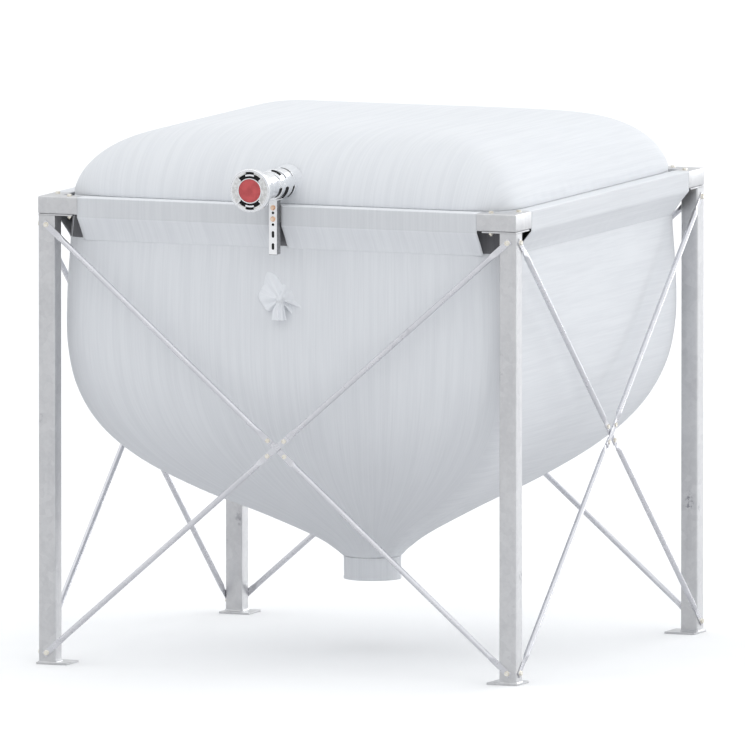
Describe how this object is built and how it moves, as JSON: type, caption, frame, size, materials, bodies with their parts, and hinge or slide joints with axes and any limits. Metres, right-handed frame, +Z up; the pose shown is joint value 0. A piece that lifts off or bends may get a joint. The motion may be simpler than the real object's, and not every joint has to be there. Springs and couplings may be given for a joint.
{
  "type": "fabric pellet silo",
  "caption": "Square fabric bag silo with a domed cover and a round outlet, hung in a braced galvanised tube frame, with a capped filling coupling at the front.",
  "frame": {"origin": "on the ground, under the middle of the silo's outer box, which the filling coupling makes longer to the front; the frame's middle is 0.132 m behind it", "axes": "+Z up, +Y from the filling coupling towards the back, +X to the right seen from the filling side"},
  "size_m": [2.0266, 2.2903, 2.0933],
  "materials": {
    "galvanised_steel": "hot-dip galvanised, mottled grey",
    "woven_fabric": "tight off-white polyester weave",
    "aluminium": "polished casting",
    "zinc_bolts": "yellow zinc plated",
    "red_plastic": "matt red"
  },
  "bodies": {
    "root": {"column_front_left": "galvanised_steel", "column_front_right": "galvanised_steel", "column_back_left": "galvanised_steel", "column_back_right": "galvanised_steel", "foot_plate_front_left": "galvanised_steel", "foot_plate_front_right": "galvanised_steel", "foot_plate_back_left": "galvanised_steel", "foot_plate_back_right": "galvanised_steel", "head_plate_front_left": "galvanised_steel", "head_plate_front_right": "galvanised_steel", "head_plate_back_left": "galvanised_steel", "head_plate_back_right": "galvanised_steel", "corner_sleeve_front_left": "galvanised_steel", "corner_sleeve_front_right": "galvanised_steel", "corner_sleeve_back_left": "galvanised_steel", "corner_sleeve_back_right": "galvanised_steel", "rail_front": "galvanised_steel", "rail_right": "galvanised_steel", "rail_back": "galvanised_steel", "rail_left": "galvanised_steel", "brace_front_rising": "galvanised_steel", "brace_front_falling": "galvanised_steel", "brace_right_rising": "galvanised_steel", "brace_right_falling": "galvanised_steel", "brace_back_rising": "galvanised_steel", "brace_back_falling": "galvanised_steel", "brace_left_rising": "galvanised_steel", "brace_left_falling": "galvanised_steel", "rail_pocket_front": "woven_fabric", "rail_pocket_right": "woven_fabric", "rail_pocket_back": "woven_fabric", "rail_pocket_left": "woven_fabric", "bag_wall_front": "woven_fabric", "bag_wall_right": "woven_fabric", "bag_wall_back": "woven_fabric", "bag_wall_left": "woven_fabric", "outlet_spout": "woven_fabric", "roof_cover": "woven_fabric", "tied_sleeve": "woven_fabric", "filler_pipe": "aluminium", "filler_coupling": "aluminium", "filler_cap": "aluminium", "pipe_bracket": "galvanised_steel"}
  },
  "joints": []
}
